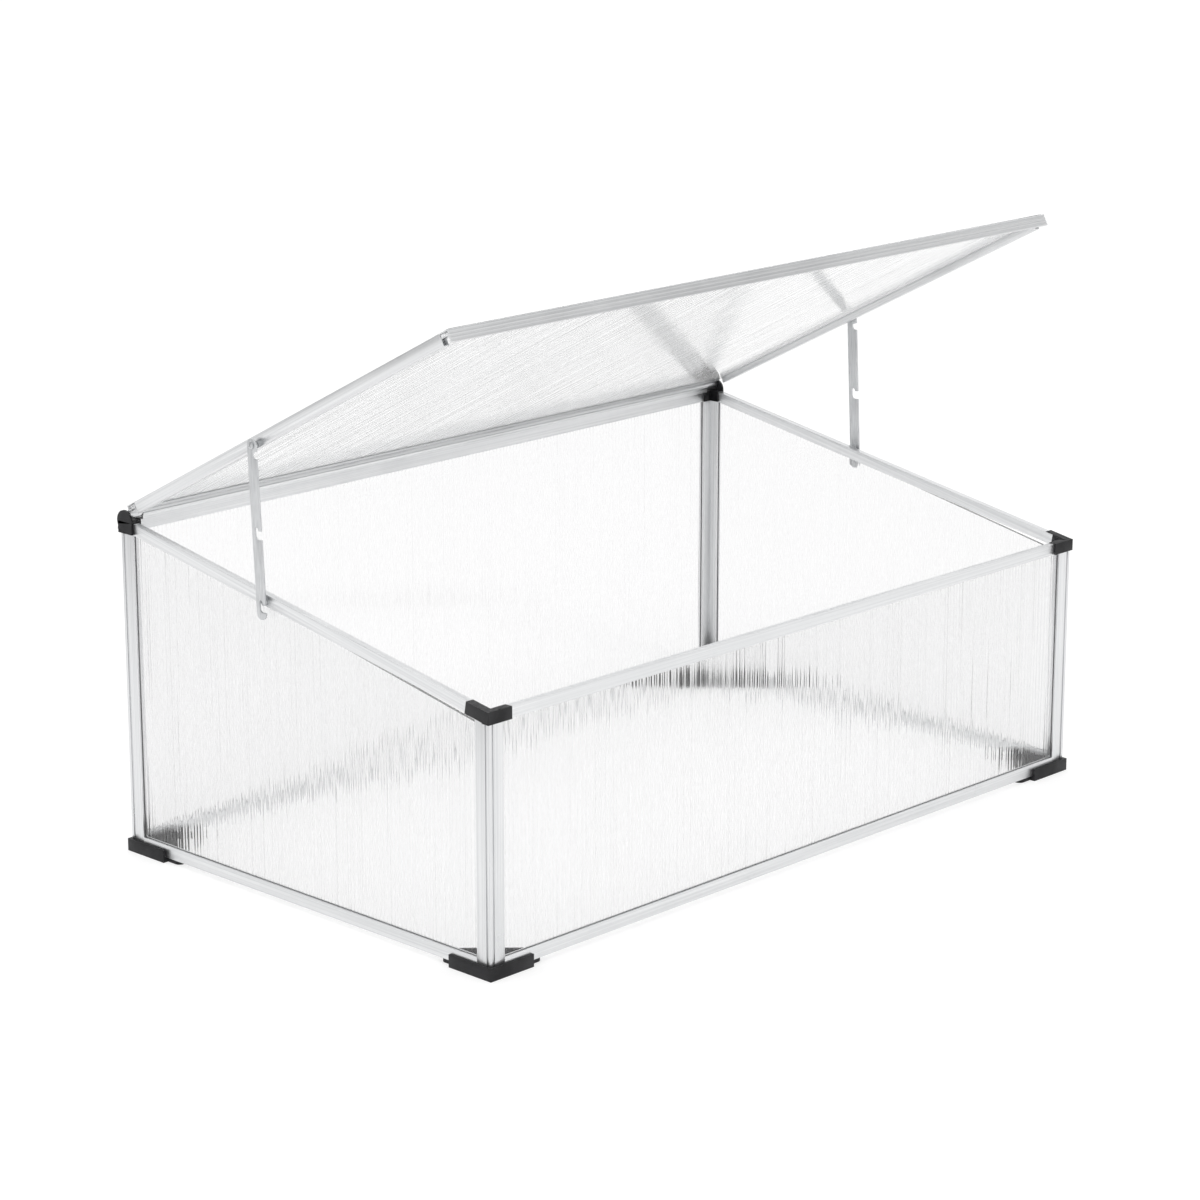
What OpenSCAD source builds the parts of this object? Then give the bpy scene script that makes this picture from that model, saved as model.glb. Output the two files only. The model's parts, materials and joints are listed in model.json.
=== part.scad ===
// Cold frame: an aluminium frame glazed with twin-wall sheet, and a sloping
// lid that is hinged along the rear edge and propped by two notched stays.
// Millimetres. The origin is the centre of the footprint, on the ground.
// +X runs along the long sides, +Y points to the hinge, +Z is up.

/* [Overall] */
// Width over the corner posts, along X
frame_w = 1000; // [600:10:1500]
// Depth over the corner posts, along Y
frame_d = 600; // [450:10:900]
// Height of the front top rail
front_h = 298; // [220:1:340]
// Height that the side rails' top line reaches at the rear face
rear_h = 402; // [390:1:520]
// Height of the bottom rails above the ground
base_t = 6; // [5:0.5:10]

/* [Wall sections] */
// Thickness of every wall section, measured through the wall
section_t = 8; // [7.6:0.1:12]
// Wall thickness of the extrusions
wall = 1.2; // [0.8:0.1:1.5]
// Height of the bottom rails
sill_h = 15; // [13:0.5:24]
// Height of the top rails
rail_h = 13.5; // [12.5:0.5:24]
// Leg length of the corner posts, from the outer corner
post_leg = 21; // [19:0.5:30]
// Depth of the glazing grooves
groove_d = 8; // [6:0.2:9]
// Depth of the lips that narrow a groove's mouth
lip_d = 1.5; // [1:0.1:2.5]
// Width of the bead on a post's outer corner
bead_w = 3.6; // [3:0.1:5]
// Width of the shadow groove beside the bead
shadow_w = 2.6; // [2:0.1:4]
// Depth of the shadow groove
shadow_d = 1.2; // [0.4:0.1:1.4]

/* [Glazing] */
// Thickness of the twin-wall sheet
sheet_t = 4; // [3:0.1:4.5]
// Thickness of each skin of the sheet
skin_t = 0.3; // [0.2:0.05:0.6]
// Thickness of the ribs between the skins
rib_t = 0.3; // [0.2:0.05:0.6]
// Pitch of the ribs
rib_pitch = 6; // [5:0.5:16]

/* [Lid] */
// Angle by which the lid stands open, from closed
lid_open = 37.35; // [20:0.05:60]
// Full opening travel, from closed
lid_travel = 100; // [80:1:100]
// Distance of the hinge axis in from the rear face
hinge_inset = 9; // [8:0.5:12]
// Height of the hinge axis above the rear height
hinge_rise = 4.5; // [3.5:0.1:8]
// Radius of the hinge bead on the lid
hinge_bead_r = 4.5; // [4:0.1:5]
// Thickness of the hinge socket's wall
socket_wall = 1.4; // [1:0.1:2]
// Height of the lid's rails, square to the lid
lid_rail_h = 14; // [12:0.5:20]
// Width of the lid's side rails
lid_rail_w = 8; // [7:0.5:12]
// Depth of the lid's front and hinge rails over the sheet
lid_grip = 12.6; // [10:0.1:18]
// How far the lid reaches past the front posts when closed
lid_overhang = 8; // [5:0.5:14]
// Gap between a side rail's rear end and the hinge axis
side_rail_start = 22; // [20:0.5:40]
// Height of the glazing groove's floor above the lid's underside
lid_floor = 8.8; // [7:0.1:9]

/* [Stays] */
// Distance of the stay pivots from the hinge axis
stay_pivot = 260; // [200:1:320]
// Horizontal distance of the hook screws from the hinge axis
hook_back = 240; // [190:1:300]
// Width of the stays
stay_w = 15; // [13:0.5:20]
// Thickness of the stays
stay_t = 2; // [1.5:0.1:3]
// Gap between the lid's side rail and a stay
stay_gap = 4.5; // [4:0.1:7]
// Distance between a stay's two working notches
notch_pitch = 82; // [60:1:100]

/* [Plastic corners] */
// How far the top corners stand proud of the frame's faces
cap_proud = 2.5; // [1.5:0.1:3.5]
// Arm length of the front top corners, from the posts' corner
cap_arm = 32; // [28:0.5:45]
// Height of the top corners above the rails
cap_rise = 0.5; // [0.3:0.1:0.7]
// How far the foot corners stand proud of the frame's faces
foot_proud = 4; // [3:0.1:6]
// Arm length of the foot corners, from the posts' corner
foot_arm = 61; // [40:1:90]
// Height of the foot corners' outer wall
foot_h = 15; // [10:0.5:20]
// Length of the tongue beyond each foot arm
tongue_len = 20; // [10:1:30]
// Width of the tongues
tongue_w = 14; // [8:0.5:18]
// Thickness of the wall round a foot corner's gusset
foot_inner = 3; // [2:0.5:5]

/* [Fasteners] */
// Radius of the screw shanks
screw_r = 2; // [1.5:0.1:2.5]
// Radius of the pan heads
head_r = 4; // [3.4:0.1:4.6]
// Radius of the nuts, across their corners
nut_r = 4.2; // [3.8:0.1:4.6]

/* [Hidden] */
$fn = 48;

eps = 0.02;               // overrun of a cutting shape past the face it cuts
over = 1;                 // overlap between shapes that become one solid
fit = 0.1;                // clearance between pieces that slide together
screw_fit = 0.05;         // radial clearance round a screw in a rail or a nut
sheet_fit = 0.5;          // room left at the edges of the glazing
sheet_growth = 1;         // room left above the glazing for it to expand
hinge_fit = 0.25;         // radial clearance round the hinge bead
lid_gap = 0.8;            // gap between the closed lid and the top rails
end_fit = 0.5;            // clearance between the lid's ends and the rear caps
hook_fit = 0.4;           // gap between a hook screw's head and its stay

metal = [0.84, 0.85, 0.86];
stay_metal = [0.72, 0.73, 0.74];
zinc = [0.6, 0.61, 0.62];
plastic = [0.09, 0.09, 0.1];
clear_sheet = [0.93, 0.96, 0.98, 0.45];

half_w = frame_w / 2;
half_d = frame_d / 2;
slope = atan((rear_h - front_h) / frame_d);
slope_len = frame_d / cos(slope);
tall = 2 * (rear_h + frame_d);

// grooves, chambers and the sheet in them
core_w = section_t - 2 * wall;
slot_w = sheet_t + 2 * fit;
slot_in = (section_t - slot_w) / 2;
sheet_in = (section_t - sheet_t) / 2;
groove_at = post_leg - groove_d;
sheet_edge = groove_at + sheet_fit;
sheet_z = base_t + sill_h - groove_d;
chamber_h = rail_h - groove_d - 2 * wall;
chamber_skin = 1;         // metal left between a post's chamber and its shadow groove
plug_len = 15;
cap_skin = 2;             // thickness of a rear top corner inside the frame
gusset_leg = foot_arm + tongue_len - section_t - foot_inner;

// lid
hinge_y = half_d - hinge_inset;
hinge_z = rear_h + hinge_rise;
line_at_hinge = front_h + (hinge_y + half_d) * tan(slope);
lid_under = (hinge_z - line_at_hinge) * cos(slope) - lid_gap;
lid_len = (hinge_y + half_d + lid_overhang) / cos(slope);
lid_half = half_w - end_fit;
lid_slot = sheet_t + fit;
lid_front_in = lid_len - wall - lid_grip;
lid_sheet_reach = 0.5;    // how far the lid's sheet runs past the middle of a side rail
lid_sheet_in = lid_rail_w / 2 - lid_sheet_reach;
front_skin = wall + 0.3;
front_foot = 3;           // width of the front rail's lower lip
flute_d = 0.5;
flutes = 3;
elevation = lid_open - slope;

// hinge: bead and neck on the lid, socket on the rear rail
socket_r = hinge_bead_r + hinge_fit;
socket_out = socket_r + socket_wall;
web_gap = 2.5;            // room between the hinge bead and the lid's web
hinge_web = hinge_bead_r + web_gap;
lid_sheet_rear = hinge_web + wall + sheet_fit;
neck_t = 2;
neck_angle = atan2(lid_floor - wall / 2 - lid_under, hinge_web + wall / 2);
neck_half = asin(neck_t / 2 / socket_r);
mouth_spare = 2;
mouth_low = neck_angle - slope - neck_half - mouth_spare;
mouth_high = neck_angle - slope + lid_travel + neck_half + mouth_spare;
mouth_steps = 6;
rear_drop = 3.5;          // how far the hinge rail stays below the side rails' line
rear_rail_top = rear_h - rear_drop;
rear_rail_z = rear_rail_top - rail_h;
socket_heel = 1.5;        // how far the socket's foot stays behind its front
socket_sole = 4;          // how far the foot's wide part stays below the hinge axis
cheek_rim = 6.8;          // how far a hinge cheek reaches past the socket
cheek_drop = 7;           // how far its centre lies below the hinge axis
dome_r = socket_out + cheek_rim;
dome_z = hinge_z - cheek_drop;

// stay points, in the rest position
pivot_v = lid_floor / 2;
pivot_w = pivot_v - lid_under;
pivot_y = hinge_y - stay_pivot * cos(elevation) + pivot_w * sin(elevation);
pivot_z = hinge_z + stay_pivot * sin(elevation) + pivot_w * cos(elevation);
hook_y = hinge_y - hook_back;
hook_v = rail_h - (groove_d + lip_d) / 2;
hook_z = front_h + (hook_y + half_d) * tan(slope) - hook_v / cos(slope);
stay_lean = atan2(hook_y - pivot_y, pivot_z - hook_z);
stay_reach = norm([hook_y - pivot_y, hook_z - pivot_z]);
stay_x = half_w + stay_gap;
stay_tip = 12;            // how far the stay's foot runs past its lower notch

// notches: the seat is round, the entry slants down from the stay's edge
seat_r = 2.6;
entry_top = 1;
entry_low = 11;
entry_nose = 9.8;
entry_heel = 7.5;
nose_in = 1.2;
vent_top = 8;
vent_edge = 5;
vent_low = 15;
vent_depth = 3;
vent_nose = 12.5;

// screws and nuts
hook_head_t = 1.9;
hook_head_x = -stay_x + hook_fit + hook_head_t;
head_t = 2.2;
dome_ratio = 2.4;         // radius of a head's dome over the head's own radius
cross_w = 0.9;
cross_l = 4;
cross_d = 0.9;
screw_end = 3;            // thread that shows past the inside of a rail's wall

// ---- placing -------------------------------------------------------------

// puts a left-hand shape on the left (-1) or the right (1)
module handed(side) {
    mirror([side > 0 ? 1 : 0, 0, 0]) children();
}

// local Y runs up along a side rail's top line, local Z is square to it
module on_slope() {
    translate([0, -half_d, front_h])
        rotate([slope, 0, 0])
            children();
}

// lid axes: local -Y runs from the hinge to the lid's front, local Z up
module on_lid() {
    translate([0, hinge_y, hinge_z])
        rotate([-elevation, 0, 0])
            children();
}

// stay axes: origin at the pivot, local Z up along the stay
module on_stay() {
    translate([0, pivot_y, pivot_z])
        rotate([stay_lean, 0, 0])
            children();
}

// extrudes a (Y, Z) outline along X, centred on X = 0
module bar_x(len) {
    translate([-len / 2, 0, 0])
        rotate([90, 0, 90])
            linear_extrude(len)
                children();
}

// extrudes an (X, Z) outline along +Y from Y = 0
module bar_y(len) {
    translate([0, len, 0])
        rotate([90, 0, 0])
            linear_extrude(len)
                children();
}

// a solid cylinder along +X from x
module rod_x(x, r, len) {
    translate([x, 0, 0])
        rotate([0, 90, 0])
            cylinder(r = r, h = len);
}

// ---- sections ------------------------------------------------------------

// rail section: thickness along X, groove mouth at Y = 0
module rail_outline(h) {
    difference() {
        square([section_t, h]);
        translate([wall, lip_d])
            square([core_w, groove_d - lip_d]);
        translate([slot_in, -eps])
            square([slot_w, lip_d + 2 * eps]);
        translate([wall, groove_d + wall])
            square([core_w, h - groove_d - 2 * wall]);
    }
}

// one leg's groove in a post section, running along X
module post_groove() {
    translate([groove_at, wall])
        square([groove_d - lip_d, core_w]);
    translate([post_leg - lip_d - eps, slot_in])
        square([lip_d + 2 * eps, slot_w]);
    translate([bead_w, -eps])
        square([shadow_w, shadow_d + eps]);
}

// corner chamber of a post section, less a margin
module post_chamber(margin = 0) {
    inner = shadow_d + chamber_skin;
    reach = groove_at - wall - inner - 2 * margin;
    width = section_t - wall - inner - 2 * margin;
    translate([inner + margin, inner + margin]) {
        square([reach, width]);
        square([width, reach]);
    }
}

// post section with its outer corner at the origin
module post_outline() {
    difference() {
        union() {
            square([post_leg, section_t]);
            square([section_t, post_leg]);
        }
        post_groove();
        mirror([1, -1])
            post_groove();
        post_chamber();
    }
}

// twin-wall sheet across X, its lower skin on Y = 0
module sheet_outline(w) {
    cells = floor((w - rib_t) / rib_pitch);
    pitch = (w - rib_t) / cells;
    difference() {
        square([w, sheet_t]);
        for (i = [0 : cells - 1])
            translate([rib_t + i * pitch, skin_t])
                square([pitch - rib_t, sheet_t - 2 * skin_t]);
    }
}

// ---- frame: posts and rails ----------------------------------------------

// everything over the left wall that lies above or below a plane at a height
// of v over the side rail's top line
module side_wall_space(v, above) {
    on_slope()
        translate([-half_w - over, -frame_d, above ? v : v - tall])
            cube([section_t + over, 3 * frame_d, tall]);
}

// room that a left post stands in: up to the side rail's underside over its
// side leg and its corner, and up to flat_z over its other leg
module post_room(flat_z, leg_y) {
    side_wall_space(-rail_h, above = false);
    translate([section_t - half_w - eps, leg_y, 0])
        cube([post_leg, section_t + 2 * eps, flat_z]);
}

module post_front() {
    intersection() {
        translate([-half_w, -half_d, base_t])
            linear_extrude(rear_h)
                post_outline();
        post_room(front_h - rail_h, -half_d - eps);
    }
}

module post_rear() {
    intersection() {
        translate([-half_w, half_d, base_t])
            mirror([0, 1, 0])
                linear_extrude(rear_h)
                    post_outline();
        post_room(rear_rail_z, half_d - section_t - eps);
    }
}

module corner_post(side, rear = false) {
    color(metal)
        handed(side)
            if (rear) post_rear();
            else post_front();
}

// a bottom rail's outline, mouth up, outer face at X = 0
module sill_outline() {
    translate([0, sill_h])
        mirror([0, 1])
            rail_outline(sill_h);
}

module bottom_rail_long(rear = false) {
    color(metal)
        mirror([0, rear ? 1 : 0, 0])
            translate([0, -half_d, base_t])
                bar_x(frame_w - 2 * post_leg)
                    sill_outline();
}

module bottom_rail_side(side) {
    color(metal)
        handed(side)
            translate([-half_w, post_leg - half_d, base_t])
                bar_y(frame_d - 2 * post_leg)
                    sill_outline();
}

module top_rail_front() {
    color(metal)
        translate([0, -half_d, front_h - rail_h])
            bar_x(frame_w - 2 * post_leg)
                rail_outline(rail_h);
}

module top_rail_side(side) {
    color(metal)
        handed(side)
            difference() {
                on_slope()
                    translate([-half_w, post_leg, -rail_h])
                        bar_y(slope_len - 2 * post_leg)
                            rail_outline(rail_h);
                translate([-half_w, hook_y, hook_z])
                    rod_x(-over, screw_r + screw_fit, wall + 2 * over);
            }
}

// C-shaped socket that the lid's bead turns in, centred on the hinge axis
module socket_outline() {
    rise = hinge_z - rear_rail_top;
    step = (mouth_high - mouth_low) / mouth_steps;
    far = 3 * socket_out;
    translate([hinge_y, hinge_z])
        difference() {
            union() {
                circle(r = socket_out);
                translate([socket_heel - socket_out, -rise])
                    square([hinge_inset + socket_out - socket_heel, rise - socket_sole]);
                translate([0, -rise])
                    square([socket_out, rise]);
            }
            circle(r = socket_r);
            polygon([
                [0, 0],
                for (i = [0 : mouth_steps])
                    [-far * cos(mouth_low + i * step), far * sin(mouth_low + i * step)]
            ]);
        }
}

module top_rail_hinge() {
    color(metal)
        bar_x(frame_w - 2 * post_leg)
            union() {
                translate([half_d - section_t, rear_rail_z])
                    rail_outline(rail_h);
                socket_outline();
            }
}

// ---- glazing -------------------------------------------------------------

// an upright sheet, centred on X, with its outer skin at Y = 0
module upright_sheet(w, h) {
    translate([-w / 2, 0, sheet_z])
        linear_extrude(h)
            sheet_outline(w);
}

module wall_panel_front() {
    color(clear_sheet)
        translate([0, sheet_in - half_d, 0])
            upright_sheet(frame_w - 2 * sheet_edge,
                front_h - rail_h + groove_d - sheet_growth - sheet_z);
}

module wall_panel_rear() {
    color(clear_sheet)
        translate([0, half_d - section_t + sheet_in, 0])
            upright_sheet(frame_w - 2 * sheet_edge,
                rear_rail_z + groove_d - sheet_growth - sheet_z);
}

module wall_panel_side(side) {
    color(clear_sheet)
        handed(side)
            difference() {
                translate([sheet_in - half_w, 0, 0])
                    mirror([1, 0, 0])
                        rotate(90)
                            upright_sheet(frame_d - 2 * sheet_edge, rear_h);
                side_wall_space(groove_d - sheet_growth - rail_h, above = true);
            }
}

// ---- plastic corners -----------------------------------------------------

// one arm of a foot: base, outer wall, tongue and plug
module foot_wing() {
    translate([-half_w - foot_proud, -half_d - foot_proud, 0]) {
        cube([foot_arm + foot_proud, foot_proud + section_t + foot_inner, base_t]);
        cube([foot_arm + foot_proud, foot_proud - fit, foot_h]);
    }
    foot_tongue();
    foot_plug();
}

// right-angled triangle with its square corner at the origin
module gusset_outline(leg) {
    polygon([[0, 0], [leg, 0], [0, leg]]);
}

// three-cornered tray that stiffens a foot inside the frame
module foot_gusset() {
    translate([section_t + fit - half_w, section_t + fit - half_d, 0]) {
        linear_extrude(base_t)
            gusset_outline(gusset_leg);
        linear_extrude(foot_h)
            difference() {
                gusset_outline(gusset_leg);
                translate([foot_inner, foot_inner])
                    gusset_outline(gusset_leg - (2 + sqrt(2)) * foot_inner);
            }
    }
}

// foot: two arms, the gusset between them, and a plug in the post's chamber
module foot() {
    foot_wing();
    swap_xy()
        foot_wing();
    foot_gusset();
    translate([-half_w, -half_d, base_t - eps])
        linear_extrude(plug_len)
            post_chamber(fit);
}

// reflects the X arm of a left front corner onto its Y arm
module swap_xy() {
    translate([-half_w, -half_d, 0])
        mirror([1, -1, 0])
            translate([half_w, half_d, 0])
                children();
}

// round-ended tongue that runs on under the rail
module foot_tongue() {
    r = tongue_w / 2;
    translate([foot_arm - half_w, foot_proud - over - half_d, 0]) {
        translate([-eps, 0, 0])
            cube([tongue_len - r + eps, tongue_w, base_t]);
        translate([tongue_len - r, r, 0])
            cylinder(r = r, h = base_t);
    }
}

// plug that passes the post's groove into the bottom rail's chamber
module foot_plug() {
    t = slot_w - 2 * fit;
    x0 = groove_at + 2 * fit;
    top = base_t + sill_h - groove_d - wall - 2 * fit;
    translate([-half_w, slot_in + fit - half_d, 0]) {
        translate([x0, 0, base_t - eps])
            cube([groove_d - 3 * fit, t, top - base_t + eps]);
        translate([x0, 0, base_t + wall + fit])
            cube([post_leg + plug_len - x0, t, top - base_t - wall - fit]);
    }
}

module foot_corner(side, rear = false) {
    color(plastic)
        handed(side)
            mirror([0, rear ? 1 : 0, 0])
                foot();
}

// room for a side rail inside a top corner
module side_rail_room() {
    on_slope()
        translate([-half_w - fit, post_leg, -rail_h - fit])
            cube([section_t + 2 * fit, slope_len - 2 * post_leg, rail_h + 2 * fit]);
}

// room for a side wall panel inside a top corner
module side_sheet_room() {
    intersection() {
        translate([slot_in - half_w, groove_at - half_d, 0])
            cube([slot_w, frame_d - 2 * groove_at, tall]);
        side_wall_space(groove_d + fit - rail_h, above = false);
    }
}

// block and skin on a side rail's end, from s0 to s1 along the slope
module side_arm(s0, s1, inner) {
    on_slope()
        translate([-half_w - cap_proud, s0, -rail_h])
            cube([cap_proud + section_t + inner, s1 - s0, rail_h + cap_rise]);
}

// plug in the chamber of a side rail, starting at s
module side_plug(s) {
    on_slope()
        translate([-half_w + wall + fit, s, -wall - chamber_h + fit])
            cube([core_w - 2 * fit, plug_len + over, chamber_h - 2 * fit]);
}

// plug in the chamber of a long top rail whose top is at z, at the front wall
module long_plug(z) {
    translate([post_leg - half_w - over, wall + fit - half_d, z - wall - chamber_h + fit])
        cube([plug_len + over, core_w - 2 * fit, chamber_h - 2 * fit]);
}

module front_cap() {
    difference() {
        union() {
            side_arm(-cap_proud, cap_arm, 0);
            translate([-half_w - cap_proud, -half_d - cap_proud, front_h - rail_h])
                cube([cap_arm + cap_proud, cap_proud + section_t, rail_h + cap_rise]);
        }
        side_rail_room();
        side_sheet_room();
        translate([post_leg - half_w, -half_d - fit, front_h - rail_h - eps])
            cube([cap_arm, section_t + 2 * fit, rail_h + fit + eps]);
        translate([groove_at - half_w, slot_in - half_d, front_h - rail_h - eps])
            cube([groove_d + over, slot_w, groove_d + fit]);
        below_front_cap();
    }
    side_plug(post_leg - over);
    long_plug(front_h);
    translate([-half_w, -half_d, front_h - rail_h - plug_len])
        linear_extrude(plug_len + wall)
            post_chamber(fit);
}

// the post's own room: nothing of a cap reaches into it
module below_front_cap() {
    difference() {
        translate([-half_w - eps, -half_d - eps, 0])
            cube([section_t + eps, section_t + eps, front_h - rail_h + 2 * section_t]);
        side_wall_space(-rail_h, above = true);
    }
}

module cap_corner_front(side) {
    color(plastic)
        handed(side)
            front_cap();
}

// half-round cheek that closes the hinge socket's end
module hinge_cheek() {
    translate([-half_w - cap_proud, hinge_y, dome_z])
        rotate([90, 0, 90])
            linear_extrude(cap_proud)
                intersection() {
                    circle(r = dome_r);
                    translate([-dome_r, rear_rail_z + rail_h / 2 - dome_z])
                        square(2 * dome_r);
                }
}

module rear_cap() {
    arm = post_leg + over;
    deep = section_t + cap_skin;
    difference() {
        union() {
            side_arm(slope_len - arm, slope_len + over, cap_skin);
            translate([-half_w - cap_proud, half_d - arm, rear_rail_z])
                cube([cap_proud + deep, arm + cap_proud, rail_h]);
            translate([-half_w, half_d - deep, rear_rail_z])
                cube([post_leg, deep + cap_proud, rail_h]);
        }
        side_rail_room();
        side_sheet_room();
        rear_post_room();
        translate([groove_at - half_w, half_d - slot_in - slot_w, rear_rail_z - eps])
            cube([groove_d + over, slot_w, groove_d + fit]);
        translate([-half_w - 2 * cap_proud, half_d - 2 * arm, rear_rail_top + cap_rise])
            cube([2 * arm, 3 * arm, tall]);
    }
    hinge_cheek();
    side_plug(slope_len - post_leg - plug_len);
    mirror([0, 1, 0])
        long_plug(rear_rail_top);
    translate([-half_w, half_d, rear_rail_z - plug_len])
        mirror([0, 1, 0])
            linear_extrude(plug_len + section_t)
                post_chamber(fit);
}

// the rear post's top, which is cut along the slope
module rear_post_room() {
    difference() {
        translate([-half_w - eps, half_d - post_leg - eps, 0])
            cube([section_t + eps, post_leg + 2 * eps, rear_rail_z + 2 * section_t]);
        side_wall_space(-rail_h, above = true);
    }
}

module cap_corner_rear(side) {
    color(plastic)
        handed(side)
            rear_cap();
}

// ---- lid -----------------------------------------------------------------

// side rail of the lid: width along X, underside at Y = 0, groove towards +X
module lid_side_outline() {
    difference() {
        square([lid_rail_w, lid_rail_h]);
        translate([wall, wall])
            square([lid_rail_w - 2 * wall, lid_floor - 2 * wall]);
        translate([wall, lid_floor])
            square([lid_rail_w, lid_slot]);
    }
}

// front rail: X runs back from the face, underside at Y = 0
module lid_front_outline() {
    flute_w = lid_rail_h / (2 * flutes + 1);
    difference() {
        union() {
            square([front_skin, lid_rail_h]);
            square([front_foot, wall]);
            translate([0, lid_floor - wall])
                square([wall + lid_grip, wall]);
            translate([0, lid_floor + lid_slot])
                square([wall + lid_grip, lid_rail_h - lid_floor - lid_slot]);
        }
        for (i = [0 : flutes - 1])
            translate([-eps, (1 + 2 * i) * flute_w])
                square([flute_d + eps, flute_w]);
    }
}

// hinge rail: X runs forward from the hinge axis, Y up from it
module lid_hinge_outline() {
    neck_len = norm([hinge_web + wall / 2, lid_floor - wall / 2 - lid_under]);
    circle(r = hinge_bead_r);
    rotate(neck_angle)
        translate([0, -neck_t / 2])
            square([neck_len, neck_t]);
    translate([0, -lid_under]) {
        translate([hinge_web, lid_floor - wall])
            square([wall, lid_rail_h - lid_floor + wall]);
        translate([hinge_web, lid_floor - wall])
            square([lid_grip, wall]);
        translate([hinge_web, lid_floor + lid_slot])
            square([lid_grip, lid_rail_h - lid_floor - lid_slot]);
    }
}

module lid_front_rail() {
    color(metal)
        on_lid()
            translate([0, -lid_len, -lid_under])
                bar_x(2 * lid_half)
                    lid_front_outline();
}

module lid_hinge_rail() {
    color(metal)
        on_lid()
            bar_x(2 * lid_half)
                mirror([1, 0])
                    lid_hinge_outline();
}

module lid_side_rail(side) {
    color(metal)
        handed(side)
            on_lid()
                difference() {
                    translate([-lid_half, -lid_front_in + fit, -lid_under])
                        bar_y(lid_front_in - side_rail_start)
                            lid_side_outline();
                    translate([0, -stay_pivot, pivot_w])
                        rod_x(-lid_half - over, screw_r + screw_fit, wall + 2 * over);
                }
}

module lid_panel() {
    w = 2 * (lid_half - lid_sheet_in);
    len = lid_len - front_skin - sheet_fit - lid_sheet_rear;
    color(clear_sheet)
        on_lid()
            translate([-w / 2, -lid_sheet_rear - len, lid_floor - lid_under])
                bar_y(len)
                    sheet_outline(w);
}

// ---- stays and their screws ----------------------------------------------

// working notch: the pin's seat is at the origin, the mouth opens to -X
module notch() {
    circle(r = seat_r);
    polygon([
        [seat_r, 0],
        [-seat_r, 0],
        [-seat_r, -entry_top],
        [-stay_w, -entry_top],
        [-stay_w, -entry_low],
        [-entry_top, -entry_low],
        [seat_r - nose_in, -entry_nose],
        [seat_r, -entry_heel]
    ]);
}

// small notch under the pivot, for the closed lid's vent position
module top_notch() {
    polygon([
        [-entry_top, -vent_top],
        [-stay_w, -vent_edge],
        [-stay_w, -vent_low],
        [-vent_depth, -vent_low],
        [-entry_top, -vent_nose]
    ]);
}

// stay in (Y, Z), pivot at the origin
module stay_outline() {
    difference() {
        union() {
            circle(r = stay_w / 2);
            translate([-stay_w / 2, -stay_reach - stay_tip])
                square([stay_w, stay_reach + stay_tip]);
            translate([0, -stay_reach - stay_tip])
                circle(r = stay_w / 2);
        }
        circle(r = screw_r + screw_fit + fit);
        top_notch();
        translate([0, notch_pitch - stay_reach])
            notch();
        translate([0, -stay_reach])
            notch();
    }
}

module stay(side) {
    color(stay_metal)
        handed(side)
            on_stay()
                translate([-stay_x - stay_t, 0, 0])
                    rotate([90, 0, 90])
                        linear_extrude(stay_t)
                            stay_outline();
}

// domed head with a cross recess; its flat seat is at x, it grows to -X
module pan_head(x, r, t) {
    difference() {
        intersection() {
            translate([x, 0, 0])
                rotate([0, -90, 0])
                    cylinder(r = r, h = t);
            translate([x - t + dome_ratio * r, 0, 0])
                sphere(r = dome_ratio * r);
        }
        for (a = [0, 90])
            rotate([a, 0, 0])
                translate([x - t - eps, -cross_l / 2, -cross_w / 2])
                    cube([cross_d + eps, cross_l, cross_w]);
    }
}

// hexagon nut along +X from x, bored for a shank
module nut(x, t) {
    difference() {
        translate([x, 0, 0])
            rotate([0, 90, 0])
                cylinder(r = nut_r, h = t, $fn = 6);
        rod_x(x - over, screw_r + screw_fit, t + 2 * over);
    }
}

module pivot_screw(side) {
    color(zinc)
        handed(side)
            on_lid()
                translate([0, -stay_pivot, pivot_w]) {
                    pan_head(-stay_x - stay_t - fit, head_r, head_t);
                    rod_x(-stay_x - stay_t - fit, screw_r, stay_gap + stay_t + wall + screw_end);
                }
}

module pivot_nut(side) {
    color(zinc)
        handed(side)
            on_lid()
                translate([0, -stay_pivot, pivot_w])
                    nut(-stay_x + fit, stay_gap - fit + end_fit);
}

module hook_screw(side) {
    color(zinc)
        handed(side)
            translate([0, hook_y, hook_z]) {
                pan_head(hook_head_x, head_r, hook_head_t);
                rod_x(hook_head_x, screw_r, wall + fit - half_w - hook_head_x);
            }
}

module hook_nut(side) {
    color(zinc)
        handed(side)
            translate([0, hook_y, hook_z])
                nut(hook_head_x, -half_w - hook_head_x);
}

// ---- nodes ---------------------------------------------------------------

corner_post(-1);  // corner_post_front_left
corner_post(1);  // corner_post_front_right
corner_post(-1, true);  // corner_post_rear_left
corner_post(1, true);  // corner_post_rear_right
bottom_rail_long();  // bottom_rail_front
bottom_rail_long(true);  // bottom_rail_rear
bottom_rail_side(-1);  // bottom_rail_left
bottom_rail_side(1);  // bottom_rail_right
top_rail_front();
top_rail_side(-1);  // top_rail_left
top_rail_side(1);  // top_rail_right
top_rail_hinge();
wall_panel_front();
wall_panel_rear();
wall_panel_side(-1);  // wall_panel_left
wall_panel_side(1);  // wall_panel_right
foot_corner(-1);  // foot_corner_front_left
foot_corner(1);  // foot_corner_front_right
foot_corner(-1, true);  // foot_corner_rear_left
foot_corner(1, true);  // foot_corner_rear_right
cap_corner_front(-1);  // cap_corner_front_left
cap_corner_front(1);  // cap_corner_front_right
cap_corner_rear(-1);  // cap_corner_rear_left
cap_corner_rear(1);  // cap_corner_rear_right
hook_screw(-1);  // hook_screw_left
hook_screw(1);  // hook_screw_right
hook_nut(-1);  // hook_nut_left
hook_nut(1);  // hook_nut_right
lid_front_rail();
lid_hinge_rail();
lid_side_rail(-1);  // lid_side_rail_left
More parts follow.
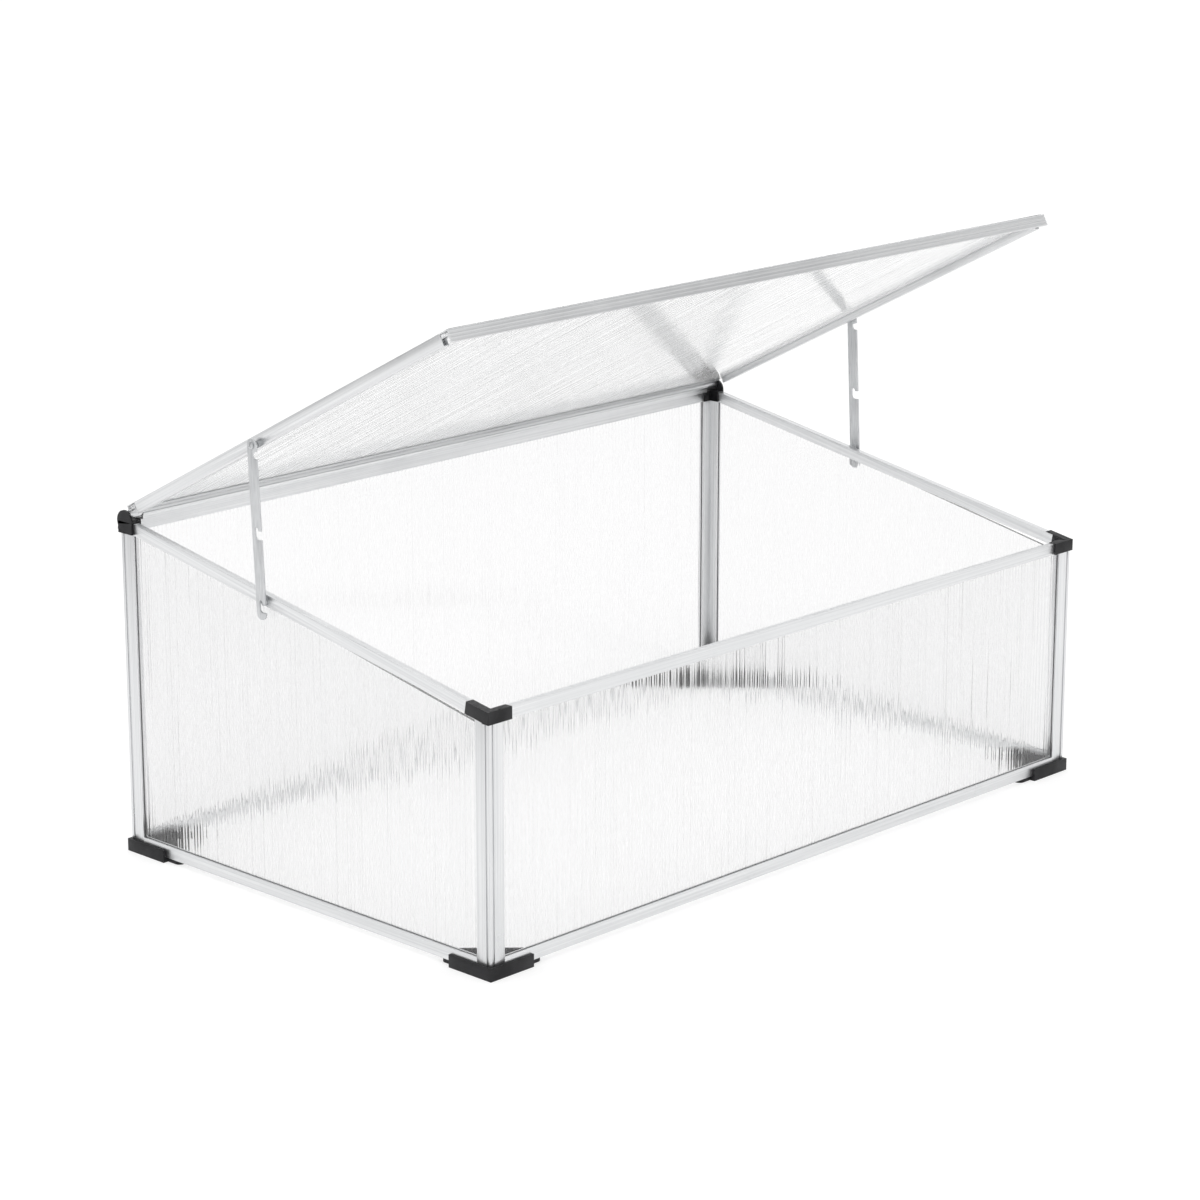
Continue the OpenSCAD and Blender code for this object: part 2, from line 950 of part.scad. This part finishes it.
lid_side_rail(1);  // lid_side_rail_right
lid_panel();
pivot_screw(-1);  // pivot_screw_left
pivot_screw(1);  // pivot_screw_right
pivot_nut(-1);  // pivot_nut_left
pivot_nut(1);  // pivot_nut_right
stay(-1);  // stay_left
stay(1);  // stay_right
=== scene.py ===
# %% [markdown]
# # A cold frame, dressed for its picture
# The frame of this object is already drawn and packed: every rail, post, sheet and
# screw is here, at its real size and in its real place. This notebook gives each of
# them its finish, rounds the edges that a die, a punch or a mould would round,
# builds the clear sheets again with their ribs, and sets up a plain white studio.

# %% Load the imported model
import json
import math

import bmesh
import bpy
from mathutils import Matrix, Vector


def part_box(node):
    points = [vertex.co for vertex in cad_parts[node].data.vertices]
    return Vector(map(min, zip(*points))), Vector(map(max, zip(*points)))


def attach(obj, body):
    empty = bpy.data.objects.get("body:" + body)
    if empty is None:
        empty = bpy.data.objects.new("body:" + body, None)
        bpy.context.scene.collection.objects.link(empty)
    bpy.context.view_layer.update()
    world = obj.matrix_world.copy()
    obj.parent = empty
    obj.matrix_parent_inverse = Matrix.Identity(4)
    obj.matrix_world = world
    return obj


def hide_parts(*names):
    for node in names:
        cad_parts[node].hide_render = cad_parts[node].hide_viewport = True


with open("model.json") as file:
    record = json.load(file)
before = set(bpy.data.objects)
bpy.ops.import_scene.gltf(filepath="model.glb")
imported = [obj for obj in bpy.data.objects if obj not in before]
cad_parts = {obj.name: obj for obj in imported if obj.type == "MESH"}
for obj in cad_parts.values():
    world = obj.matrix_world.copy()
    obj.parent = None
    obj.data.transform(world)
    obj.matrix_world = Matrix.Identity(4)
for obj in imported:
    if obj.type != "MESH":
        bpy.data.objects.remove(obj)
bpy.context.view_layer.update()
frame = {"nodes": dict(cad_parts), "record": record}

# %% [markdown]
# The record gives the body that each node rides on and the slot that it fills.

mm = 0.001
scene = bpy.context.scene
nodes = frame["nodes"]
bodies = frame["record"]["behaviour"]["bodies"]
node_body = {node: body for body, members in bodies.items() for node in members}
node_slot = {part["node"]: part["material_slot"] for part in frame["record"]["subparts"]}

# %% [markdown]
# ## Camera
# The view is from the front left and a little above, through a long lens, as
# catalogue pictures of garden frames are taken. A long lens keeps the posts nearly
# upright, so the camera needs no shift.

# %% Camera
look_at = Vector((-0.0138, 0.0084, 0.2635))
camera_turn = math.radians(-46.02)
camera_rise = math.radians(15.45)
camera_distance = 4.30
lens_length = 108.2
film_width = 36
farthest_seen = 100

away = Vector((
    math.sin(camera_turn) * math.cos(camera_rise),
    -math.cos(camera_turn) * math.cos(camera_rise),
    math.sin(camera_rise),
))
camera_data = bpy.data.cameras.new("camera")
camera_data.sensor_width = film_width
camera_data.lens = lens_length
camera_data.clip_end = farthest_seen
camera = bpy.data.objects.new("camera", camera_data)
camera.location = look_at + away * camera_distance
camera.rotation_mode = "QUATERNION"
camera.rotation_quaternion = (-away).to_track_quat("-Z", "Y")
scene.collection.objects.link(camera)
scene.camera = camera
print("camera at", [round(c, 3) for c in camera.location])

# %% [markdown]
# ## Studio
# Clear sheet and bare aluminium show little but what stands round them. White
# light from all round washes them out, so the room is darker towards two sides:
# that gives the faces of the rails different greys. One wide soft light hangs over
# the object and a weaker one stands to its left. The floor is a sheet of paper that
# also glows, as a light table does, and so stays evenly white behind the sheets.

# %% Floor
floor_size = 60
paper_look = {
    "Base Color": (0.45, 0.45, 0.45, 1),
    "Roughness": 0.9,
    "Specular IOR Level": 0.1,
    "Emission Color": (1, 1, 1, 1),
    "Emission Strength": 0.62,
}

floor_mesh = bpy.data.meshes.new("studio_floor")
bm = bmesh.new()
bmesh.ops.create_grid(bm, x_segments=1, y_segments=1, size=floor_size / 2)
bm.to_mesh(floor_mesh)
bm.free()
floor = bpy.data.objects.new("studio_floor", floor_mesh)
scene.collection.objects.link(floor)

paper = bpy.data.materials.new("studio_paper")
paper.use_nodes = True
for socket, value in paper_look.items():
    paper.node_tree.nodes["Principled BSDF"].inputs[socket].default_value = value
floor_mesh.materials.append(paper)
print("floor", floor_size, "m wide")

# %% [markdown]
# The room's light is one number, multiplied once for each darker side. A side is a
# direction, the cosine of the angle at which it begins to darken, and the share of
# the light that is left in its middle.

# %% Room light
room_bright = 1.06
dark_sides = (
    ((0.60, -0.50, 0.62), 0.78, 0.55),
    ((-0.70, 0.66, 0.25), 0.60, 0.50),
)

world = bpy.data.worlds.new("studio_room")
scene.world = world
world.use_nodes = True
room = world.node_tree
direction = room.nodes.new("ShaderNodeTexCoord")
strength = room.nodes.new("ShaderNodeValue").outputs["Value"]
strength.default_value = room_bright
for side, begins, share in dark_sides:
    towards = room.nodes.new("ShaderNodeVectorMath")
    towards.operation = "DOT_PRODUCT"
    towards.inputs[1].default_value = Vector(side).normalized()
    fall = room.nodes.new("ShaderNodeMapRange")
    fall.interpolation_type = "SMOOTHSTEP"
    fall.inputs["From Min"].default_value = begins
    fall.inputs["From Max"].default_value = 1.0
    fall.inputs["To Min"].default_value = 1.0
    fall.inputs["To Max"].default_value = share
    dimmed = room.nodes.new("ShaderNodeMath")
    dimmed.operation = "MULTIPLY"
    room.links.new(direction.outputs["Generated"], towards.inputs[0])
    room.links.new(towards.outputs["Value"], fall.inputs["Value"])
    room.links.new(strength, dimmed.inputs[0])
    room.links.new(fall.outputs["Result"], dimmed.inputs[1])
    strength = dimmed.outputs["Value"]
background = room.nodes["Background"]
background.inputs["Color"].default_value = (1, 1, 1, 1)
room.links.new(strength, background.inputs["Strength"])
print("room at", room_bright, "with", len(dark_sides), "darker sides")


# %% Soft lights
def soft_light(name, place, target, size, watts):
    """Adds a square softbox at place that faces target."""
    data = bpy.data.lights.new(name, "AREA")
    data.shape = "SQUARE"
    data.size = size
    data.energy = watts
    light = bpy.data.objects.new(name, data)
    light.location = place
    light.rotation_mode = "QUATERNION"
    light.rotation_quaternion = (Vector(target) - Vector(place)).to_track_quat("-Z", "Y")
    scene.collection.objects.link(light)


soft_light("top_softbox", place=(-1.2, -0.6, 4.2), target=(0, 0, 0.2), size=3.0, watts=24)
soft_light("left_softbox", place=(-4.2, 0.6, 2.2), target=(0, 0, 0.3), size=2.0, watts=6)
print("lights", len(bpy.data.lights))

# %% [markdown]
# On its way through two or three sheets, light crosses many skins and ribs. So it is
# allowed more steps than usual, or the sheets would turn dark where they overlap.

# %% Steps of light
light_steps = 24
scene.cycles.max_bounces = light_steps
scene.cycles.transmission_bounces = light_steps
scene.cycles.transparent_max_bounces = 2 * light_steps
scene.view_settings.view_transform = "Standard"
print("light may take", light_steps, "steps")

# %% [markdown]
# ## Finishes
# Every finish below is a small tree of nodes on a Principled shader. They all read
# Object coordinates in metres, so the grain has its true size on every piece. One
# helper makes the material, and the others each add one step to its tree.


# %% A new finish
def new_finish(name, colour, metallic, roughness):
    """A material, its node tree and its Principled shader."""
    material = bpy.data.materials.new(name)
    material.use_nodes = True
    tree = material.node_tree
    shader = tree.nodes["Principled BSDF"]
    shader.inputs["Base Color"].default_value = (*colour, 1)
    shader.inputs["Metallic"].default_value = metallic
    shader.inputs["Roughness"].default_value = roughness
    return material, tree, shader


def object_place(tree):
    """The place of a point in its object, in metres."""
    return tree.nodes.new("ShaderNodeTexCoord").outputs["Object"]


print("finishes start from a Principled shader")

# %% [markdown]
# Most of the detail is noise. Turned and scaled coordinates draw it out into lines.
# Its values crowd round the middle, so they are spread over the range that is wanted.

# %% Noise
noise_low, noise_high = 0.3, 0.7


def mapped(tree, place, scale=(1, 1, 1), turn=0.0):
    """A place turned about X and then scaled along each axis."""
    turned = tree.nodes.new("ShaderNodeMapping")
    turned.inputs["Rotation"].default_value = (turn, 0, 0)
    scaled = tree.nodes.new("ShaderNodeMapping")
    scaled.inputs["Scale"].default_value = scale
    tree.links.new(place, turned.inputs["Vector"])
    tree.links.new(turned.outputs["Vector"], scaled.inputs["Vector"])
    return scaled.outputs["Vector"]


def noise(tree, place, scale, detail):
    """A noise texture at a place."""
    texture = tree.nodes.new("ShaderNodeTexNoise")
    texture.inputs["Scale"].default_value = scale
    texture.inputs["Detail"].default_value = detail
    tree.links.new(place, texture.inputs["Vector"])
    return texture.outputs["Fac"]


def spread(tree, value, low, high):
    """Spreads a noise over low to high."""
    node = tree.nodes.new("ShaderNodeMapRange")
    node.inputs["From Min"].default_value = noise_low
    node.inputs["From Max"].default_value = noise_high
    node.inputs["To Min"].default_value = low
    node.inputs["To Max"].default_value = high
    tree.links.new(value, node.inputs["Value"])
    return node.outputs["Result"]


print("a noise is spread from", noise_low, "to", noise_high)

# %% [markdown]
# A noise can do three things to a surface: change its colour, change its shine, or
# raise it a little.


# %% What a noise does to a shader
def paint(tree, shader, factor, dark, light):
    """Colours a shader between two colours, by a factor."""
    node = tree.nodes.new("ShaderNodeMix")
    node.data_type = "RGBA"
    node.inputs["A"].default_value = (*dark, 1)
    node.inputs["B"].default_value = (*light, 1)
    tree.links.new(factor, node.inputs["Factor"])
    tree.links.new(node.outputs["Result"], shader.inputs["Base Color"])


def polish(tree, shader, value, low, high):
    """Lets a noise vary a shader's roughness between low and high."""
    tree.links.new(spread(tree, value, low, high), shader.inputs["Roughness"])


def bump(tree, shader, height, strength, distance):
    """Puts a height on a shader's normal."""
    node = tree.nodes.new("ShaderNodeBump")
    node.inputs["Strength"].default_value = strength
    node.inputs["Distance"].default_value = distance
    tree.links.new(height, node.inputs["Height"])
    tree.links.new(node.outputs["Normal"], shader.inputs["Normal"])


print("helpers ready for", len(nodes), "nodes")

# %% [markdown]
# ### Extruded aluminium
# The rails are pressed through a die, which leaves fine straight lines along their
# whole length, and the bare metal stays a little cloudy. So one noise is stretched
# far along the rail for the die lines, and a second, broad one clouds it. The lines
# must follow the rail, so each direction in the object has a finish of its own: the
# coordinates are turned first and then squeezed along the rail.

# %% Aluminium finish
line_density = 620.0
line_detail = 4.0
line_stretch = 0.004
line_shade = 0.25
line_height = 0.15 * mm
line_relief = 0.35
cloud_density = 14.0
cloud_detail = 5.0
cloud_shade = 0.72
cloud_polish = (0.27, 0.44)
rail_dark = (0.60, 0.61, 0.62)
rail_light = (0.87, 0.875, 0.88)


def extruded(name, along, slope=0.0, dark=rail_dark, light=rail_light):
    """Mill aluminium whose die lines run along X, Y or Z, or on a slope along Y."""
    material, tree, shader = new_finish(name, light, metallic=1.0, roughness=0.34)
    place = object_place(tree)
    squeeze = [line_stretch if axis == along else 1.0 for axis in "XYZ"]
    lines = noise(tree, mapped(tree, place, squeeze, turn=-slope), line_density, line_detail)
    cloud = noise(tree, place, cloud_density, cloud_detail)
    shade = tree.nodes.new("ShaderNodeMath")
    shade.operation = "MULTIPLY"
    tree.links.new(spread(tree, lines, line_shade, 1.0), shade.inputs[0])
    tree.links.new(spread(tree, cloud, cloud_shade, 1.0), shade.inputs[1])
    paint(tree, shader, shade.outputs["Value"], dark, light)
    polish(tree, shader, cloud, *cloud_polish)
    bump(tree, shader, lines, line_relief, line_height)
    return material


print("die lines stretched", round(1 / line_stretch), "times")

# %% [markdown]
# The slopes are measured on the imported pieces. The front rail of the lid lies more in
# shade than the rest, so it wears a darker copy of the aluminium: painted shade.


# %% Aluminium in every direction
def slope_of(name, sign):
    """The slope along Y of a piece that rises (1) or falls (-1) towards the rear."""
    low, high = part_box(name)
    return sign * math.atan2(high.z - low.z, high.y - low.y)


rail_slope = slope_of("top_rail_left", 1)
lid_slope = slope_of("lid_panel", -1)

aluminium_x = extruded("aluminium_along_x", "X")
aluminium_y = extruded("aluminium_along_y", "Y")
aluminium_z = extruded("aluminium_upright", "Z")
aluminium_slope = extruded("aluminium_on_slope", "Y", rail_slope)
aluminium_lid = extruded("aluminium_on_lid", "Y", lid_slope)
# the lid's front rail: the same aluminium, painted darker for the shade it lies in
aluminium_front_painted_shade = extruded("aluminium_lid_front_painted_shade", "X", light=(0.77, 0.775, 0.78))
print("side rails slope", round(math.degrees(rail_slope), 2))
print("lid slopes", round(math.degrees(lid_slope), 2))

# %% [markdown]
# ### Stay strip
# The stays are punched from rolled strip. Rolling leaves short, fine, broken lines
# along the strip, and it is duller than the extrusions.

# %% Strip finish
roll_stretch = (1.0, 1.0, 0.03)
strip, tree, shader = new_finish("rolled_strip", (0.7, 0.71, 0.72), metallic=1.0, roughness=0.42)
place = object_place(tree)
roll_lines = noise(tree, mapped(tree, place, roll_stretch), scale=1400, detail=4.0)
rub = noise(tree, place, scale=60, detail=6.0)
paint(tree, shader, spread(tree, roll_lines, 0.0, 1.0), dark=(0.50, 0.51, 0.52), light=(0.70, 0.71, 0.72))
polish(tree, shader, rub, low=0.34, high=0.55)
bump(tree, shader, roll_lines, strength=0.35, distance=0.1 * mm)
print("made", strip.name)

# %% [markdown]
# ### Zinc plate
# Screws and nuts are steel with a bright zinc plate: a harder shine than the
# aluminium, with a fine sparkle of crystals.

# %% Zinc finish
crystals_per_metre = 1800
zinc, tree, shader = new_finish("zinc_plate", (0.62, 0.63, 0.64), metallic=1.0, roughness=0.3)
place = object_place(tree)
crystals = tree.nodes.new("ShaderNodeTexVoronoi")
crystals.inputs["Scale"].default_value = crystals_per_metre
tree.links.new(place, crystals.inputs["Vector"])
sparkle = crystals.outputs["Distance"]
paint(tree, shader, sparkle, dark=(0.66, 0.67, 0.68), light=(0.46, 0.47, 0.48))
polish(tree, shader, noise(tree, place, scale=300, detail=3.0), low=0.22, high=0.42)
bump(tree, shader, sparkle, strength=0.2, distance=0.05 * mm)
print("made", zinc.name)

# %% [markdown]
# ### Black plastic
# The corners are moulded in a spark-eroded mould, which leaves a fine even grain.
# Handling rubs the grain smooth in patches, so the shine varies.

# %% Plastic finish
plastic, tree, shader = new_finish("black_moulding", (0.012, 0.012, 0.013), metallic=0.0, roughness=0.5)
shader.inputs["Specular IOR Level"].default_value = 0.28
place = object_place(tree)
grain = noise(tree, place, scale=2600, detail=2.0)
rubbed = noise(tree, place, scale=45, detail=5.0)
paint(tree, shader, spread(tree, rubbed, 0.0, 1.0), dark=(0.007, 0.007, 0.008), light=(0.016, 0.016, 0.018))
polish(tree, shader, rubbed, low=0.58, high=0.38)
bump(tree, shader, grain, strength=0.4, distance=0.1 * mm)
print("made", plastic.name)

# %% [markdown]
# ### Twin-wall sheet
# The sheet is clear plastic. Its skins are never quite flat: they sag a little
# between the ribs, so what stands behind the sheet is drawn out sideways into fine
# streaks. That is a bump across the ribs. Straight light passes it, so it casts no
# hard shadow.

# %% Sheet finish
flute_pitch = 6 * mm
ripples_per_metre = 2.2 / flute_pitch
ripple_depth = 0.42 * mm
ripple_stretch = 0.01
sheet_refraction = 1.45
blue_hint = 1.002


def twin_wall(name, across, depth, passed):
    """Clear sheet whose skins ripple along X or Y; passed is its share of light."""
    colour = (passed, passed, passed * blue_hint)
    material, tree, shader = new_finish(name, colour, metallic=0.0, roughness=0.05)
    shader.inputs["Transmission Weight"].default_value = 1.0
    shader.inputs["IOR"].default_value = sheet_refraction
    stretch = [1.0 if axis == across else ripple_stretch for axis in "XYZ"]
    ripple = noise(tree, mapped(tree, object_place(tree), stretch), ripples_per_metre, detail=0.0)
    bump(tree, shader, ripple, strength=1.0, distance=depth)
    clear = tree.nodes.new("ShaderNodeBsdfTransparent")
    path = tree.nodes.new("ShaderNodeLightPath")
    mix = tree.nodes.new("ShaderNodeMixShader")
    tree.links.new(path.outputs["Is Shadow Ray"], mix.inputs["Fac"])
    tree.links.new(shader.outputs["BSDF"], mix.inputs[1])
    tree.links.new(clear.outputs["BSDF"], mix.inputs[2])
    tree.links.new(mix.outputs["Shader"], tree.nodes["Material Output"].inputs["Surface"])
    return material


sheet_x = twin_wall("twin_wall_long", "X", ripple_depth, passed=0.90)
sheet_y = twin_wall("twin_wall_side", "Y", ripple_depth, passed=0.895)
sheet_lid = twin_wall("twin_wall_lid", "X", ripple_depth / 3, passed=0.94)
print("ripple pitch", round(1 / ripples_per_metre / mm, 2), "mm")

# %% [markdown]
# The ribs inside the sheet are seen edge on, so they look milky. They are nearly
# clear from any other side, which is a very low alpha.

# %% Rib finish
milky, tree, shader = new_finish("milky_rib", (0.93, 0.94, 0.95), metallic=0.0, roughness=0.35)
shader.inputs["Alpha"].default_value = 0.04
haze = noise(tree, object_place(tree), scale=90, detail=4.0)
paint(tree, shader, spread(tree, haze, 0.0, 1.0), dark=(0.86, 0.87, 0.88), light=(0.97, 0.98, 0.98))
polish(tree, shader, haze, low=0.25, high=0.5)
print("made", milky.name)

# %% [markdown]
# ## Which piece wears which finish
# A piece's slot says what it is made of and its name says where it runs, so its
# finish can be looked up from the two.

# %% Finish of a node
plain_finishes = {"black_plastic": plastic, "stay_strip": strip, "zinc_steel": zinc}


def sheet_finish(node):
    """The clear sheet that a panel wears."""
    if node == "lid_panel":
        return sheet_lid
    return sheet_y if node.endswith(("left", "right")) else sheet_x


def aluminium_finish(node):
    """The aluminium whose die lines follow a rail or post."""
    # the lid's front rail wears the aluminium with painted shade
    if node == "lid_front_rail":
        return aluminium_front_painted_shade
    if node.startswith("corner_post"):
        return aluminium_z
    if not node.endswith(("left", "right")):
        return aluminium_x
    if node.startswith("lid_side"):
        return aluminium_lid
    return aluminium_slope if node.startswith("top_rail") else aluminium_y


def finish_of(node):
    """The finish that a node wears."""
    slot = node_slot[node]
    if slot == "mill_aluminium":
        return aluminium_finish(node)
    return sheet_finish(node) if slot == "twin_wall_sheet" else plain_finishes[slot]


for name, node in nodes.items():
    node.data.materials.clear()
    node.data.materials.append(finish_of(name))
print("finishes set on", len(nodes), "nodes")

# %% [markdown]
# ## A finished piece in place of a drawn one
# Each drawn node below gives way to a finished mesh of the same size and place. The
# finished piece hides its node, rides on the same body and keeps the same slot.


# %% Standing in for a node
def stand_in(mesh, name):
    """The piece that shows a mesh in place of a node."""
    piece = bpy.data.objects.new(mesh.name, mesh)
    scene.collection.objects.link(piece)
    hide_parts(name)
    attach(piece, node_body[name])
    return piece


print("bodies to ride on:", sorted(set(node_body.values())))

# %% [markdown]
# ## Softened edges
# No real edge is perfectly sharp: a die, a punch and a mould all leave a small
# radius, and that radius is what catches the light. The drawn pieces have sharp
# edges, so each one is copied, its loose triangles are joined, its flat faces are
# made whole, and its edges get a narrow bevel.

# %% A softened copy of a node
weld_gap = 0.002 * mm
flat_angle = math.radians(0.5)
edge_angle = math.radians(28)
crease_angle = math.radians(40)


def softened(name, radius, steps):
    """A copy of a node with small round edges, which stands for the node."""
    bm = bmesh.new()
    bm.from_mesh(nodes[name].data)
    bmesh.ops.remove_doubles(bm, verts=bm.verts, dist=weld_gap)
    bmesh.ops.dissolve_limit(bm, angle_limit=flat_angle, verts=bm.verts, edges=bm.edges)
    sharp = [e for e in bm.edges if len(e.link_faces) == 2 and e.calc_face_angle(0) > edge_angle]
    bmesh.ops.bevel(bm, geom=sharp, offset=radius, offset_type="OFFSET", affect="EDGES", segments=steps,
                    profile=0.5, material=-1, clamp_overlap=True)
    mesh = bpy.data.meshes.new(name + "_softened")
    mesh.materials.append(finish_of(name))
    bm.to_mesh(mesh)
    bm.free()
    mesh.shade_smooth()
    mesh.set_sharp_from_angle(angle=crease_angle)
    return stand_in(mesh, name)


print("edges over", round(math.degrees(edge_angle)), "degrees are rounded")

# %% [markdown]
# Each way of making leaves its own radius. A die's is small, a mould's is the
# widest, and a screw's is hardly there. Wider ones are rounded in more steps.

# %% Every edge softened
soft_edges = {
    "mill_aluminium": (0.22 * mm, 2),
    "black_plastic": (0.6 * mm, 3),
    "stay_strip": (0.25 * mm, 2),
    "zinc_steel": (0.12 * mm, 2),
}
for slot, (radius, steps) in soft_edges.items():
    made = [softened(node, radius, steps) for node in nodes if node_slot[node] == slot]
    print("softened", len(made), slot, "pieces,", sum(len(o.data.polygons) for o in made), "faces")

# %% [markdown]
# ## Glazing
# Each drawn sheet is hollow, with every channel open as a cell. For the picture it is
# built again as a clear slab of the same size with its ribs standing inside, which
# light passes in fewer steps. The ribs stay just short of the slab's skins.

# %% Slab with ribs
rib_wall = 0.3 * mm
rib_inset = 0.06 * mm
clear_face, rib_face = 0, 1


def add_box(bm, low, high, finish_index):
    """Adds a closed box between two corners."""
    size = Vector(high) - Vector(low)
    middle = (Vector(high) + Vector(low)) / 2
    box = bmesh.ops.create_cube(bm, size=1, matrix=Matrix.LocRotScale(middle, None, size))
    for face in {f for v in box["verts"] for f in v.link_faces}:
        face.material_index = finish_index


def ribbed_slab(bm, low, high, across):
    """Adds a slab with ribs inside it, side by side along one axis."""
    add_box(bm, low, high, clear_face)
    width = high[across] - low[across] - rib_wall
    cells = int(width / flute_pitch)
    pitch = width / cells
    for i in range(1, cells):
        rib_low = Vector([c + rib_inset for c in low])
        rib_high = Vector([c - rib_inset for c in high])
        rib_low[across] = low[across] + i * pitch
        rib_high[across] = rib_low[across] + rib_wall
        add_box(bm, rib_low, rib_high, rib_face)
    return cells


print("ribs every", round(flute_pitch / mm, 1), "mm")

# %% [markdown]
# The lid's sheet is laid flat, built as a level slab and turned back to the slope at
# which the lid stands. The side sheets are built as high as at the rear, and then
# cut along the slope of their rail.

# %% A glazed panel
cut_gap = 1e-7


def cut_on_slope(bm, rear_y, rear_z, slope):
    """Cuts off all that stands above a slope through the top of the rear edge."""
    cut = bmesh.ops.bisect_plane(
        bm, geom=bm.verts[:] + bm.edges[:] + bm.faces[:], dist=cut_gap, plane_co=(0, rear_y, rear_z),
        plane_no=(0, -math.sin(slope), math.cos(slope)), clear_outer=True)
    rim = [e for e in cut["geom_cut"] if isinstance(e, bmesh.types.BMEdge)]
    bmesh.ops.holes_fill(bm, edges=rim, sides=0)


def glazed(name, across, lies=0.0, cut_slope=None):
    """A clear slab with milky ribs, lying on a slope along Y, which stands for a panel."""
    level = Matrix.Rotation(-lies, 3, "X")
    corners = [level @ v.co for v in nodes[name].data.vertices]
    low = Vector([min(c[axis] for c in corners) for axis in range(3)])
    high = Vector([max(c[axis] for c in corners) for axis in range(3)])
    bm = bmesh.new()
    cells = ribbed_slab(bm, low, high, across)
    if cut_slope is not None:
        cut_on_slope(bm, high.y, high.z, cut_slope)
    bmesh.ops.rotate(bm, verts=bm.verts, cent=(0, 0, 0), matrix=level.inverted())
    bmesh.ops.recalc_face_normals(bm, faces=bm.faces)
    mesh = bpy.data.meshes.new(name + "_glazing")
    bm.to_mesh(mesh)
    bm.free()
    mesh.materials.append(finish_of(name))
    mesh.materials.append(milky)
    print(name, "with", cells, "channels")
    return stand_in(mesh, name)


# %% The five sheets
along_x, along_y = 0, 1
glazed("wall_panel_front", along_x)
glazed("wall_panel_rear", along_x)
glazed("wall_panel_left", along_y, cut_slope=rail_slope)
glazed("wall_panel_right", along_y, cut_slope=rail_slope)
glazed("lid_panel", along_x, lies=lid_slope)
